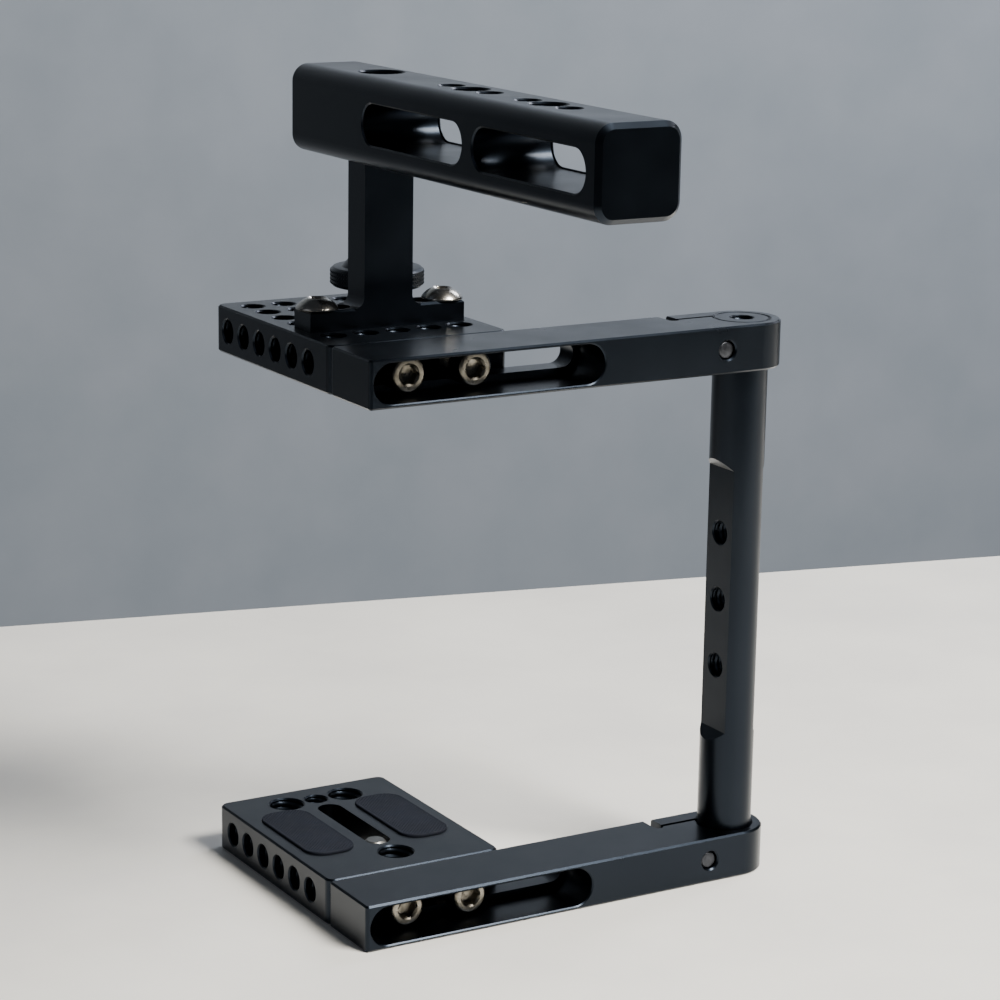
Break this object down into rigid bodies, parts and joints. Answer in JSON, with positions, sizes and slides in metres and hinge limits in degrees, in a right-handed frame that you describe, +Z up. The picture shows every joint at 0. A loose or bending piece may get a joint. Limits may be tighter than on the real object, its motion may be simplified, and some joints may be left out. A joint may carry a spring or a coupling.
{
  "type": "camera cage",
  "caption": "Camera cage: two drilled plates on slotted arms, a side rod, a top handle on a post, a captive camera screw and a shoe-mount thumb screw.",
  "frame": {"origin": "centre of the 3/8 inch tripod thread, on the underside of the base plate", "axes": "+Z up, +X along the arms towards the rod, +Y away from the arms across the plates"},
  "size_m": [0.1289, 0.1679, 0.2211],
  "materials": {
    "anodised_plate": "satin black anodised aluminium",
    "anodised_arm": "satin black anodised aluminium",
    "anodised_rod": "satin black anodised aluminium",
    "anodised_handle": "satin black anodised aluminium",
    "pad_rubber": "dotted grip rubber",
    "cap_screw_steel": "nickel-plated steel",
    "button_screw_steel": "polished stainless steel",
    "pinch_screw_steel": "blackened steel, bare at its tip",
    "bolt_steel": "black oxide steel",
    "camera_screw_steel": "stainless steel",
    "knob_aluminium": "black anodised, knurled",
    "shoe_aluminium": "black anodised"
  },
  "bodies": {
    "base": {"base_plate": "anodised_plate", "base_pad_left": "pad_rubber", "base_pad_right": "pad_rubber", "base_arm_screw_left": "cap_screw_steel", "base_arm_screw_right": "cap_screw_steel"},
    "screw_washer": {"camera_screw_washer": "camera_screw_steel"},
    "camera_screw": {"camera_screw": "camera_screw_steel"},
    "lower_arm": {"base_arm": "anodised_arm"},
    "lower_pinch": {"base_pinch_screw": "pinch_screw_steel"},
    "rod": {"side_rod": "anodised_rod"},
    "upper_arm": {"top_arm": "anodised_arm"},
    "upper_pinch": {"top_pinch_screw": "pinch_screw_steel"},
    "top": {"top_plate": "anodised_plate", "top_arm_screw_left": "cap_screw_steel", "top_arm_screw_right": "cap_screw_steel", "handle_post": "anodised_handle", "post_screw_left": "button_screw_steel", "post_screw_right": "button_screw_steel", "handle_bar": "anodised_handle", "handle_bolt": "bolt_steel"},
    "shoe": {"shoe_foot": "shoe_aluminium"},
    "knob": {"shoe_knob": "knob_aluminium", "shoe_stud": "cap_screw_steel"}
  },
  "joints": [
    {"name": "base_width", "type": "slide", "parent": "base", "child": "lower_arm", "axis": [1, 0, 0], "range_m": [-0.027, 0.009]},
    {"name": "camera_screw_slide", "type": "slide", "parent": "base", "child": "screw_washer", "axis": [0, 1, 0], "range_m": [-0.0012, 0.02686]},
    {"name": "camera_screw_lift", "type": "slide", "parent": "screw_washer", "child": "camera_screw", "axis": [0, 0, 1], "range_m": [0, 0.0049]},
    {"name": "lower_pinch_turn", "type": "hinge", "parent": "lower_arm", "child": "lower_pinch", "pos_m": [0.0809, -0.0218, 0.00635], "axis": [0, 1, 0], "range_deg": [-90, 90]},
    {"name": "rod_turn", "type": "hinge", "parent": "lower_arm", "child": "rod", "pos_m": [0.0924, -0.0218, 0], "axis": [0, 0, 1], "range_deg": [-90, 90]},
    {"name": "top_height", "type": "slide", "parent": "rod", "child": "upper_arm", "axis": [0, 0, 1], "range_m": [-0.1, 0]},
    {"name": "upper_pinch_turn", "type": "hinge", "parent": "upper_arm", "child": "upper_pinch", "pos_m": [0.0809, -0.0218, 0.14915], "axis": [0, 1, 0], "range_deg": [-90, 90]},
    {"name": "top_width", "type": "slide", "parent": "upper_arm", "child": "top", "axis": [1, 0, 0], "range_m": [-0.008, 0.0278]},
    {"name": "shoe_travel", "type": "slide", "parent": "top", "child": "shoe", "axis": [0, 0, 1], "range_m": [-0.0063, 0.005]},
    {"name": "knob_turn", "type": "hinge", "parent": "shoe", "child": "knob", "pos_m": [0.00925, 0.03, 0.1555], "axis": [0, 0, 1], "range_deg": [-1800, 1440]}
  ],
  "couplings": [
    {"joint": "knob_turn", "follows": "shoe_travel", "rad_per_m": 4947.4}
  ]
}
